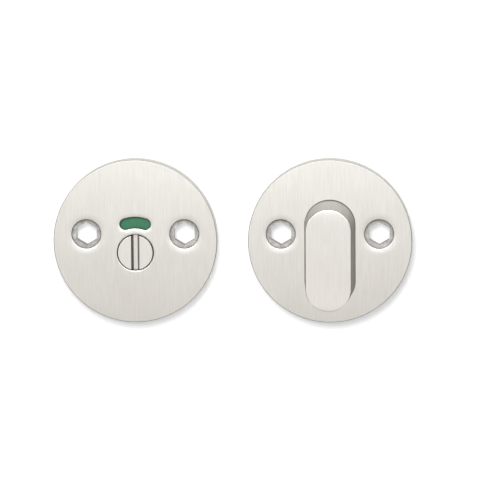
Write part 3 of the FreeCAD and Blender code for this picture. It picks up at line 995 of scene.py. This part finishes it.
@dataclass
class OutsideHalf(Rose):
    """The outside rose with its window, and the washers and ring that hold the release."""

    head_hole: float = 5.5
    window_radius: float = 9.2
    window_half: float = 1.675
    window_angle: float = math.radians(19.1)
    window_dish: float = 0.7
    head_dish: float = 0.3
    window_cuts: int = 20
    groove_inner: float = 9.975
    groove_outer: float = 11.875
    groove_rear: float = 0.45
    groove_front: float = 1.25
    cone: tuple[tuple[float, float], ...] = ((6.2, 1.7), (8.3, 1.85), (8.3, 2.15), (6.2, 2.0))
    retainer_bore: float = 6.05
    retainer_radius: float = 11.325
    retainer_rear: float = 1.2
    retainer_front: float = 1.7
    snap_ring: OpenRingSizes = OpenRingSizes(
        inner=9.975, outer=11.825, lug_drop=9.275, gap=4.0, rear=0.5, front=1.2)

    def window_cutter(self) -> bpy.types.Object:
        """Make a bar that curves over the spindle axis, with round ends.

        Returns:
            The bar.
        """
        bench = self.bench
        section = [(self.window_half, 0.0)] + self.mouth(self.window_half, self.window_dish)
        bar = bench.turned("window", section, steps=WINDOW_ROUND)
        straight = 2 * self.window_radius * self.window_angle
        bench.stretch(bar, straight)
        bench.pick(bar, lambda _across, up, _level: up > 0, every_end=False)
        bpy.ops.mesh.subdivide(number_cuts=self.window_cuts)
        bench.leave()
        for vertex in bar.data.vertices:
            across, up, level = bench.offset(vertex.co)
            along = max(-straight / 2, min(straight / 2, up))
            turn, past = along / self.window_radius, up - along
            radius = self.window_radius + across
            new_across = radius * math.sin(turn) + past * math.cos(turn)
            new_up = radius * math.cos(turn) - past * math.sin(turn)
            vertex.co = bench.spot(new_across, new_up, level)
        bench.hold(bar)
        bpy.ops.object.mode_set(mode="EDIT")
        return bench.settle("window")

    def rose(self, *finishes: bpy.types.Material) -> None:
        """Build and dress the outside rose.

        Args:
            finishes: Its brushed finish, a dark copy of it that paints shade on walls and edges, and its
                milled finish.
        """
        bench = self.bench
        rose = self.blank("outside_rose_face")
        hole = [(self.head_hole, 0.0)] + self.mouth(self.head_hole, self.head_dish)
        bench.cut(rose, bench.turned("head_hole", hole), self.window_cutter())
        bench.cut(rose, bench.ring("groove", self.groove_inner, self.groove_outer, self.groove_rear,
                                   self.groove_front))
        self.fit(rose, "outside_rose", "brushed_stainless", *finishes, sort=self.sort)

    def holders(self, plate: bpy.types.Material, spring: bpy.types.Material) -> None:
        """Build and dress the washer, the retainer and the snap ring that hold the release.

        Args:
            plate: The retainer's finish.
            spring: The finish of the washer and the ring.
        """
        bench = self.bench
        washer = bench.turned("release_spring_cone", list(self.cone), steps=LARGE_ROUND, ring=True)
        self.fit(washer, "release_spring_washer", "spring_steel", spring)
        retainer = bench.ring("release_retainer_plate", self.retainer_bore, self.retainer_radius,
                              self.retainer_rear, self.retainer_front)
        self.fit(retainer, "release_retainer", "zinc_plated_steel", plate)
        ring = bench.open_ring("release_snap_ring_clip", self.snap_ring)
        self.fit(ring, "release_snap_ring", "spring_steel", spring)


@dataclass
class GripSizes:
    """Sizes of the thumb turn's grip and neck, and of the pieces on the neck."""

    half_width: float = 7.8
    straight: float = 17.2
    base: float = 5.45
    front: float = 22.95
    draft: float = math.radians(3)
    foot: float = 0.15
    # Painted shade on the flank: a dark band just above the base and the height over which it fades out
    painted_shade_line: float = 0.6
    painted_shade_fade: float = 2.8
    pillow_width: float = 2.4
    pillow_depth: float = 0.04
    pillow_steps: int = 8
    edge: float = 0.22
    front_facing: float = 0.9
    rings: int = 6
    core: float = 0.5
    flat_reach: float = 9.9
    crown_radius: float = 55.0
    neck_radius: float = 6.0
    neck_end: float = -8.0
    neck_chamfer: float = 0.5
    groove_radius: float = 5.75
    groove_rear: float = -0.9
    groove_front: float = 0.2
    flats: float = 5.2
    flats_rear: float = 1.15
    flats_front: float = 3.15
    socket_half: float = 3.05
    socket_end: float = 3.55
    pin_level: float = -4.5
    pin_radius: float = 1.25
    pin_wall: float = 0.5
    pin_slit: float = 0.5
    pin_length: float = 11.4
    pin_room: float = 0.02
    washer_bore: float = 6.05
    washer_radius: float = 9.0
    washer_rear: float = 0.2
    washer_front: float = 1.0
    circlip: OpenRingSizes = OpenRingSizes(
        inner=5.77, outer=7.47, lug_drop=7.47, gap=3.0, rear=-0.85, front=0.15)
    bar_half: float = 3.0
    bar_front: float = 3.5
    bar_rear: float = -56.5
    bar_chamfer: float = 0.6


@dataclass
class ThumbTurn(SubAssembly):
    """The grip that a hand turns, on a neck that carries the spindle."""

    body: ClassVar[str] = "turn"
    sizes: GripSizes

    def front_radius(self) -> float:
        """Return the half width that the draft leaves at the front."""
        return self.sizes.half_width - (self.sizes.front - self.sizes.base) * math.tan(self.sizes.draft)

    def grip(self) -> bpy.types.Object:
        """Make the drafted grip with its rolled front edge and its crowned ends.

        Returns:
            The grip.
        """
        sizes, bench = self.sizes, self.bench
        top = self.front_radius()
        pillow = dished(top, sizes.front, sizes.pillow_width, sizes.pillow_depth, sizes.edge,
                        sizes.pillow_steps)
        inner = top - sizes.pillow_width
        step = (inner - sizes.core) / sizes.rings
        face = [(inner - step * ring, sizes.front) for ring in range(1, sizes.rings + 1)]
        foot = [(sizes.half_width - sizes.foot, sizes.base), (sizes.half_width, sizes.base + sizes.foot)]
        grip = bench.turned("thumb_turn_grip", foot + pillow + face, steps=SPLIT_ROUND)
        bench.stretch(grip, sizes.straight)
        for vertex in grip.data.vertices:
            across, up, level = bench.offset(vertex.co)
            past = max(0.0, abs(up) - sizes.flat_reach)
            if level > sizes.front - 2 * sizes.pillow_depth and past:
                drop = sizes.crown_radius - math.sqrt(sizes.crown_radius ** 2 - past ** 2)
                vertex.co = bench.spot(across, up, level - drop)
        return grip

    def neck(self) -> bpy.types.Object:
        """Make the turned neck, which reaches a little way into the grip.

        Returns:
            The neck.
        """
        sizes = self.sizes
        return self.bench.turned("neck", [
            (sizes.neck_radius - sizes.neck_chamfer, sizes.neck_end),
            (sizes.neck_radius, sizes.neck_end + sizes.neck_chamfer),
            (sizes.neck_radius, sizes.groove_rear),
            (sizes.groove_radius, sizes.groove_rear),
            (sizes.groove_radius, sizes.groove_front),
            (sizes.neck_radius, sizes.groove_front),
            (sizes.neck_radius, sizes.base + OVERRUN),
        ])

    def turn(self, *finishes: bpy.types.Material) -> None:
        """Build and dress the thumb turn. Its shadow and its mirror image stay off the rose.

        Args:
            finishes: The finishes of its front and of its flank and neck; the second is a darkened copy
                of the steel, painted shade.
        """
        sizes, bench = self.sizes, self.bench
        piece = self.grip()
        bench.join(piece, self.neck())
        far = sizes.neck_radius + OVERRUN
        rear, front = sizes.flats_rear, sizes.flats_front
        for side in (-1, 1):
            low, high = sorted((side * sizes.flats, side * far))
            bench.cut(piece, bench.block("flat", (low, -far, rear), (high, far, front)))
            bench.cut(piece, bench.block("flat", (-far, low, rear), (far, high, front)))
        half = sizes.socket_half
        opening = (-half, -half, sizes.neck_end - OVERRUN)
        socket = bench.block("socket", opening, (half, half, sizes.socket_end))
        bench.cut(piece, socket, self.pin_hole())
        self.fit(piece, "thumb_turn", "brushed_stainless", *finishes,
                 sort=lambda normal, _place: int(-normal.y < sizes.front_facing))
        piece.visible_shadow = False
        piece.visible_glossy = False

    def pin_hole(self) -> bpy.types.Object:
        """Make the cutter of the cross hole, which goes through the neck and the spindle.

        Returns:
            The cutter.
        """
        sizes = self.sizes
        length = 2 * (sizes.neck_radius + OVERRUN)
        return self.bench.drill("pin_hole", sizes.pin_radius + sizes.pin_room, sizes.pin_level, length)

    def spindle(self, finish: bpy.types.Material) -> None:
        """Build and dress the square spindle.

        Args:
            finish: Its finish.
        """
        sizes, bench = self.sizes, self.bench
        half = sizes.bar_half
        bar = bench.block("spindle_bar", (-half, -half, sizes.bar_rear), (half, half, sizes.bar_front))
        for end in (sizes.bar_rear, sizes.bar_front):
            bench.soften(bar, lambda _across, _up, level: abs(level - end) < HAIR, sizes.bar_chamfer, 1)
        bench.cut(bar, self.pin_hole())
        self.fit(bar, "spindle", "zinc_plated_steel", finish)

    def pin(self, finish: bpy.types.Material) -> None:
        """Build and dress the slotted pin across the neck and the spindle.

        Args:
            finish: Its finish.
        """
        sizes, bench = self.sizes, self.bench
        pin = bench.drill("spindle_pin_tube", sizes.pin_radius, sizes.pin_level, sizes.pin_length)
        far = sizes.pin_length / 2 + OVERRUN
        bore = bench.drill("pin_bore", sizes.pin_radius - sizes.pin_wall, sizes.pin_level, 2 * far)
        low = (-far, -sizes.pin_slit / 2, sizes.pin_level - sizes.pin_radius - OVERRUN)
        bench.cut(pin, bore, bench.block("slit", low, (far, sizes.pin_slit / 2, sizes.pin_level)))
        self.fit(pin, "spindle_pin", "spring_steel", finish)

    def holders(self, plate: bpy.types.Material, spring: bpy.types.Material) -> None:
        """Build and dress the thrust washer and the circlip that hold the neck in the rose.

        Args:
            plate: The washer's finish.
            spring: The circlip's finish.
        """
        sizes, bench = self.sizes, self.bench
        washer = bench.ring("turn_thrust_plate", sizes.washer_bore, sizes.washer_radius,
                            sizes.washer_rear, sizes.washer_front)
        self.fit(washer, "turn_thrust_washer", "zinc_plated_steel", plate)
        circlip = bench.open_ring("turn_circlip_ring", sizes.circlip)
        self.fit(circlip, "turn_circlip", "spring_steel", spring)


@dataclass
class ReleaseSizes:
    """Sizes of the coin release, its indicator disc and the rivets between them."""

    head_radius: float = 5.35
    head_front: float = 5.3
    head_edge: float = 0.12
    flange_radius: float = 8.5
    flange_rear: float = 2.2
    disc_rear: float = 2.9
    disc_front: float = 3.4
    disc_radius: float = 11.175
    disc_bore: float = 5.4
    disc_edge: float = 0.06
    hub_radius: float = 6.0
    hub_end: float = -6.0
    hub_chamfer: float = 0.5
    slot_half: float = 1.275
    slot_floor_half: float = 0.6
    slot_floor: float = 3.5
    socket_half: float = 3.05
    socket_end: float = 1.0
    rivet_reach: float = 6.7
    rivet_radius: float = 0.4
    rivet_head: float = 0.6
    rivet_head_depth: float = 0.2
    rivet_room: float = 0.02


@dataclass
class CoinRelease(SubAssembly):
    """The slotted release with the indicator disc that is riveted to its flange."""

    body: ClassVar[str] = "release"
    sizes: ReleaseSizes

    def release(self, *finishes: bpy.types.Material) -> None:
        """Build and dress the turned release.

        Args:
            finishes: The finishes of its front and slot floor, and of everything else, the latter a dark
                copy of the steel that paints shade.
        """
        sizes, bench = self.sizes, self.bench
        head = rolled(sizes.head_radius, sizes.head_front, sizes.head_edge, sizes.head_edge, EDGE_STEPS)
        piece = bench.turned("coin_release_head", [
            (sizes.hub_radius - sizes.hub_chamfer, sizes.hub_end),
            (sizes.hub_radius, sizes.hub_end + sizes.hub_chamfer),
            (sizes.hub_radius, sizes.flange_rear),
            (sizes.flange_radius, sizes.flange_rear),
            (sizes.flange_radius, sizes.disc_rear),
            (sizes.head_radius, sizes.disc_rear),
        ] + head, steps=LARGE_ROUND)
        half = sizes.socket_half
        opening = (-half, -half, sizes.hub_end - OVERRUN)
        socket = bench.block("socket", opening, (half, half, sizes.socket_end))
        bench.cut(piece, self.slot_cutter(), socket)
        radius = sizes.rivet_radius + sizes.rivet_room
        hole = [(radius, sizes.flange_rear - OVERRUN), (radius, sizes.disc_front)]
        for side in (-1, 1):
            cutter = bench.turned("rivet_hole", hole, side * sizes.rivet_reach, steps=PIN_ROUND)
            bench.cut(piece, cutter)
        self.fit(piece, "coin_release", "brushed_stainless", *finishes, sort=self.sort)

    def sort(self, normal: Vector, place: Spot) -> int:
        """Return the finish of a face: 0 on the front and the slot's floor, 1 elsewhere."""
        return int(-normal.y < FRONT_FACING or place[2] < self.sizes.slot_floor - HAIR)

    def slot_cutter(self) -> bpy.types.Object:
        """Make the cutter of the coin slot, whose walls lean out towards the front.

        Returns:
            The cutter.
        """
        sizes, bench = self.sizes, self.bench
        far = sizes.head_radius + OVERRUN
        rise = sizes.head_front + OVERRUN
        lean = (sizes.slot_half - sizes.slot_floor_half) / (sizes.head_front - sizes.slot_floor)
        top_half = sizes.slot_half + lean * OVERRUN
        cutter = bench.block("coin_slot", (-top_half, -far, sizes.slot_floor), (top_half, far, rise))
        bench.pick(cutter, lambda _across, _up, level: level < sizes.head_front)
        floor = bench.spot(0, 0, sizes.slot_floor)
        bpy.ops.transform.resize(value=(sizes.slot_floor_half / top_half, 1, 1), center_override=floor)
        bench.leave()
        return cutter

    def disc(self, finish: bpy.types.Material) -> None:
        """Build and dress the indicator disc.

        Args:
            finish: Its finish.
        """
        sizes, bench = self.sizes, self.bench
        disc = bench.ring("indicator_disc_plate", sizes.disc_bore, sizes.disc_radius, sizes.disc_rear,
                          sizes.disc_front)
        bench.break_edges(disc, sizes.disc_edge)
        for side in (-1, 1):
            bench.cut(disc, self.rivet(side, sizes.rivet_room, OVERRUN))
        self.fit(disc, "indicator_disc", "indicator_enamel", finish)

    def rivet(self, side: int, room: float = 0.0, past: float = 0.0) -> bpy.types.Object:
        """Make a countersunk rivet, or the cutter of its hole.

        Args:
            side: 1 for the right rivet and -1 for the left one.
            room: How much larger its radii are.
            past: How far it reaches past its two ends.

        Returns:
            The rivet or the cutter.
        """
        sizes = self.sizes
        shank, head = sizes.rivet_radius + room, sizes.rivet_head + room
        section = [(shank, sizes.flange_rear - past), (shank, sizes.disc_front - sizes.rivet_head_depth),
                   (head, sizes.disc_front - room)]
        if past:
            section.append((head, sizes.disc_front + past))
        across = side * sizes.rivet_reach
        return self.bench.turned("indicator_rivet_pair", section, across, steps=PIN_ROUND)

    def rivets(self, finish: bpy.types.Material) -> None:
        """Build and dress the pair of rivets.

        Args:
            finish: Their finish.
        """
        pair = self.rivet(1)
        self.bench.join(pair, self.rivet(-1))
        self.fit(pair, "indicator_rivets", "rivet_brass", finish)


@dataclass(frozen=True)
class Flag:
    """A card beside the lock, which walls and rims reflect, in metres."""

    name: str
    facing: Vector
    distance: float
    front: float
    rear: float
    span: float
    grey: float


@dataclass(frozen=True)
class Lamp:
    """A soft square lamp that faces the lock, in metres and watts."""

    name: str
    offset: Vector
    side: float
    power: float


@dataclass(frozen=True)
class StudioSizes:
    """Places and levels of the camera, lamps and cards, in metres and degrees."""

    aim: Vector = Vector((-0.02744, -0.005, 0.00393))
    azimuth: float = 3.0
    elevation: float = 7.8
    roll: float = -0.38
    distance: float = 1.2
    view_width: float = 0.14643
    sensor: float = 36.0
    near_clip: float = 0.01
    sky_level: float = 0.75
    sky_fill: float = 0.25
    box_place: Vector = Vector((-0.016, -0.12, 0.10))
    box_aim: Vector = Vector((-0.016, 0, 0))
    box_width: float = 0.40
    box_height: float = 0.09
    box_level: float = 4.15
    box_tint: Colour = (0.955, 1.005, 1.10)
    backdrop_gap: float = 0.0003
    backdrop_half: float = 0.8
    backdrop_glow: float = 0.24
    backdrop_grey: float = 0.88
    hole_painted_light: float = 0.42
    floor_level: float = -0.14
    floor_glow: float = 0.3
    floor_grey: float = 0.7
    card_half: float = 0.006
    lamps: tuple[Lamp, ...] = (
        Lamp("key_lamp", Vector((-0.07, -0.70, 0.30)), side=0.28, power=3.5),
        Lamp("rear_lamp", Vector((0.10, 0.65, 0.25)), side=0.5, power=2.4),
    )
    flags: tuple[Flag, ...] = (
        Flag("left_flag", Vector((1, 0, 0)), 0.22, front=0.20, rear=0.08, span=0.8, grey=0.28),
        Flag("right_flag", Vector((-1, 0, 0)), 0.22, front=0.24, rear=0.08, span=0.8, grey=0.16),
        Flag("top_card", Vector((0, 0, -1)), 0.20, front=0.05, rear=0.08, span=0.8, grey=1.3),
        Flag("low_flag", Vector((0, 0, 1)), 0.061, front=0.068, rear=0.02, span=0.8, grey=0.06),
    )


@dataclass
class Studio:
    """Camera, soft lamps, cards that the steel reflects and the white ground behind the lock."""

    sizes: StudioSizes

    def camera(self) -> None:
        """Add the camera at the photograph's viewing angle, with a long lens."""
        sizes = self.sizes
        azimuth, elevation = math.radians(sizes.azimuth), math.radians(sizes.elevation)
        away = Vector((math.sin(azimuth) * math.cos(elevation), -math.cos(azimuth) * math.cos(elevation),
                       math.sin(elevation)))
        data = bpy.data.cameras.new("camera")
        data.sensor_width = sizes.sensor
        data.sensor_fit = "HORIZONTAL"
        data.lens = sizes.sensor * sizes.distance / sizes.view_width
        data.clip_start = sizes.near_clip
        camera = bpy.data.objects.new("camera", data)
        camera.location = sizes.aim + away * sizes.distance
        roll = Quaternion((0, 0, 1), math.radians(sizes.roll))
        camera.rotation_euler = ((-away).to_track_quat("-Z", "Y") @ roll).to_euler()
        bpy.context.scene.collection.objects.link(camera)
        bpy.context.scene.camera = camera

    def light(self, lamp: Lamp) -> None:
        """Add a soft lamp, which reflections don't meet.

        Args:
            lamp: The lamp.
        """
        data = bpy.data.lights.new(lamp.name, "AREA")
        data.shape = "RECTANGLE"
        data.size = lamp.side
        data.size_y = lamp.side
        data.energy = lamp.power
        light = bpy.data.objects.new(lamp.name, data)
        light.location = self.sizes.aim + lamp.offset
        light.rotation_euler = (self.sizes.aim - light.location).to_track_quat("-Z", "Y").to_euler()
        light.visible_camera = False
        light.visible_glossy = False
        bpy.context.scene.collection.objects.link(light)

    def sky(self) -> None:
        """Light the scene from all round, more to the camera and in reflections than on matt surfaces."""
        sizes = self.sizes
        world = bpy.data.worlds.new("studio")
        bpy.context.scene.world = world
        recipe = Recipe(world)
        camera, glossy, through = (
            recipe.node("ShaderNodeLightPath", output=name)
            for name in ("Is Camera Ray", "Is Glossy Ray", "Is Transmission Ray"))
        strength = sizes.sky_fill + (sizes.sky_level - sizes.sky_fill) * (camera | glossy | through)
        shader = recipe.node("ShaderNodeBackground", inputs={"Color": (1, 1, 1, 1), "Strength": strength})
        recipe.output("ShaderNodeOutputWorld", shader)

    def ground(self, name: str, glow: float, grey: float, tint: Colour = (1, 1, 1)) -> bpy.types.Material:
        """Make a surface that can glow and take shadows, and can't be seen from behind.

        Args:
            name: The material's name.
            glow: The level at which it glows.
            grey: How pale it is under the lamps.
            tint: The colour of its glow.

        Returns:
            The material.
        """
        material, recipe = new_recipe(name)
        back = recipe.node("ShaderNodeNewGeometry", output="Backfacing")
        light = recipe.node("ShaderNodeEmission", inputs={"Color": (*tint, 1), "Strength": glow})
        skin = recipe.node("ShaderNodeBsdfDiffuse", inputs={"Color": (grey, grey, grey, 1)})
        front = recipe.node("ShaderNodeAddShader", inputs={0: light, 1: skin})
        clear = recipe.node("ShaderNodeBsdfTransparent")
        shader = recipe.node("ShaderNodeMixShader", inputs={0: back, 1: front, 2: clear})
        recipe.output("ShaderNodeOutputMaterial", shader)
        return material

    def card(self, name: str, place: Vector, width: float, height: float, facing: Vector,
             material: bpy.types.Material, hidden: Hidden) -> None:
        """Add a flat card to the stage.

        Args:
            name: The card's name.
            place: Its middle.
            width: Its width.
            height: Its height.
            facing: The way that its front looks.
            material: Its surface.
            hidden: The rays that it is hidden from.
        """
        Bench.clear()
        turn = facing.to_track_quat("Z", "Y").to_euler()
        bpy.ops.mesh.primitive_plane_add(size=1, location=place, rotation=turn)
        card = bpy.context.object
        card.name = name
        card.scale = (width, height, 1)
        bpy.ops.object.transform_apply(location=True, rotation=True, scale=True)
        card.data.materials.append(material)
        for ray in hidden.value:
            setattr(card, f"visible_{ray}", False)

    def hang(self, flag: Flag) -> None:
        """Hang a grey card, which only reflections meet.

        Args:
            flag: The card.
        """
        depth = flag.front + flag.rear
        middle = Vector((self.sizes.aim.x, (flag.rear - flag.front) / 2, self.sizes.aim.z))
        width, height = (depth, flag.span) if flag.facing.x else (flag.span, depth)
        self.card(flag.name, middle - flag.distance * flag.facing, width, height, flag.facing,
                  self.ground(flag.name, flag.grey, 0.0), Hidden.ALL_BUT_REFLECTIONS)

    def soft_box(self) -> None:
        """Hang a bright card above the lock, which only reflections meet."""
        sizes = self.sizes
        surface = self.ground("soft_box", sizes.box_level, 0.0, sizes.box_tint)
        facing = (sizes.box_aim - sizes.box_place).normalized()
        self.card("soft_box", sizes.box_place, sizes.box_width, sizes.box_height, facing, surface,
                  Hidden.ALL_BUT_REFLECTIONS)

    def stage(self, holes: list[Vector]) -> None:
        """Add the white ground behind the lock, the cards behind its holes, which glow brighter as
        painted light in the rose's shadow, the flags and the floor.

        Args:
            holes: The middles of the fixing holes.
        """
        sizes = self.sizes
        out = Vector((0, -1, 0))
        wide = 2 * sizes.backdrop_half
        behind = Vector((sizes.aim.x, sizes.backdrop_gap, sizes.aim.z))
        self.card("backdrop", behind, wide, wide, out,
                  self.ground("white_ground", sizes.backdrop_glow, sizes.backdrop_grey),
                  Hidden.ALL_BUT_CAMERA)
        # Painted light: cards behind the fixing holes glow brighter than the ground and lift the rose's
        # shadow seen through the holes
        white = self.ground("painted_light_card", sizes.hole_painted_light, sizes.backdrop_grey)
        side = 2 * sizes.card_half
        for number, hole in enumerate(holes):
            spot = Vector((hole.x, sizes.backdrop_gap / 2, hole.z))
            self.card(f"painted_light_hole_{number}", spot, side, side, out, white, Hidden.ALL_BUT_CAMERA)
        for flag in sizes.flags:
            self.hang(flag)
        floor = Vector((sizes.aim.x, 0, sizes.floor_level))
        self.card("floor", floor, wide, wide, Vector((0, 0, 1)),
                  self.ground("pale_floor", sizes.floor_glow, sizes.floor_grey), Hidden.NONE)


def dress_node(node: bpy.types.Object, material: bpy.types.Material) -> None:
    """Give a solid that is shown as it is its finish.

    Args:
        node: The solid's object.
        material: The finish.
    """
    for slot in node.material_slots:
        slot.material = material
    log.info("%s is shown as it is", node.name)


def main() -> None:
    """Build the looks of the lock around its frame."""
    logging.basicConfig(level=logging.INFO, format="%(message)s")
    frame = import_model()

    pivots = {joint["child"]: joint["pos_m"] for joint in frame["joints"]}
    inside = Bench(pivots["turn"][0] / MM, pivots["turn"][2] / MM)
    outside = Bench(pivots["release"][0] / MM, pivots["release"][2] / MM)
    grip = GripSizes()

    stainless = BrushedStainless().material()
    polished = BrushedStainless("grip_stainless", pale=(0.90, 0.855, 0.80), dark=(0.82, 0.775, 0.72),
                                roughness=0.36).material()
    milled = BrushedStainless("milled_stainless", pale=(0.80, 0.76, 0.71), dark=(0.40, 0.38, 0.35),
                              grain=Grain.NONE, streak=1.1, scratch=0.35, roughness=0.75).material()
    # A dark copy of the steel for rims, walls, edges and the release's sides and slot walls: painted
    # shade that draws dark edge lines
    turned = BrushedStainless("edge_painted_shade", pale=(0.28, 0.27, 0.25), dark=(0.21, 0.203, 0.186),
                              grain=Grain.NONE, roughness=0.30).material()
    # The grip's flank: a darkened copy of the steel with dimmed grazing reflections, as painted shade,
    # and painted contact shadow towards its foot
    flank = BrushedStainless("flank_painted_shade", pale=(0.57, 0.545, 0.50), dark=(0.48, 0.455, 0.42),
                             grain=Grain.ALONG_SPINDLE, roughness=0.45, grazing=0.45,
                             foot=grip.base + grip.painted_shade_line, painted_shade_height=grip.painted_shade_fade).material()
    zinc = PlainSteel("zinc_plate", pale=(0.72, 0.73, 0.75), dark=(0.60, 0.61, 0.64),
                      roughness=0.32).material()
    spring = PlainSteel("spring_steel", pale=(0.30, 0.30, 0.32), dark=(0.20, 0.20, 0.22),
                        roughness=0.38).material()
    brass = PlainSteel("rivet_brass", pale=(0.74, 0.57, 0.28), dark=(0.62, 0.46, 0.20),
                       roughness=0.35).material()
    acetal = Acetal().material()
    enamel = IndicatorEnamel(outside.spot(0, 0, 0)).material()

    inside_half = InsideHalf(inside, RoseSizes.from_frame("inside_rose", inside.up))
    inside_half.rose(stainless, turned, milled)
    outside_half = OutsideHalf(outside, RoseSizes.from_frame("outside_rose", outside.up))
    outside_half.rose(stainless, turned, milled)
    inside_half.bush(acetal)
    inside_half.washer(spring)
    outside_half.holders(zinc, spring)
    turn = ThumbTurn(inside, grip)
    turn.turn(polished, flank)
    turn.holders(zinc, spring)
    turn.spindle(zinc)
    turn.pin(spring)
    release = CoinRelease(outside, ReleaseSizes())
    release.release(polished, turned)
    release.disc(enamel)
    release.rivets(brass)
    dress_node(frame["nodes"]["turn_click_spring"], spring)

    studio = Studio(StudioSizes())
    studio.camera()
    studio.sky()
    studio.soft_box()
    for lamp in studio.sizes.lamps:
        studio.light(lamp)
    sizes = inside_half.sizes
    studio.stage([bench.spot(side * sizes.fixing_reach, sizes.fixing_up, 0)
                  for bench in (inside, outside) for side in (-1, 1)])
    bpy.context.scene.view_settings.view_transform = "Standard"


if __name__ == "__main__":
    main()
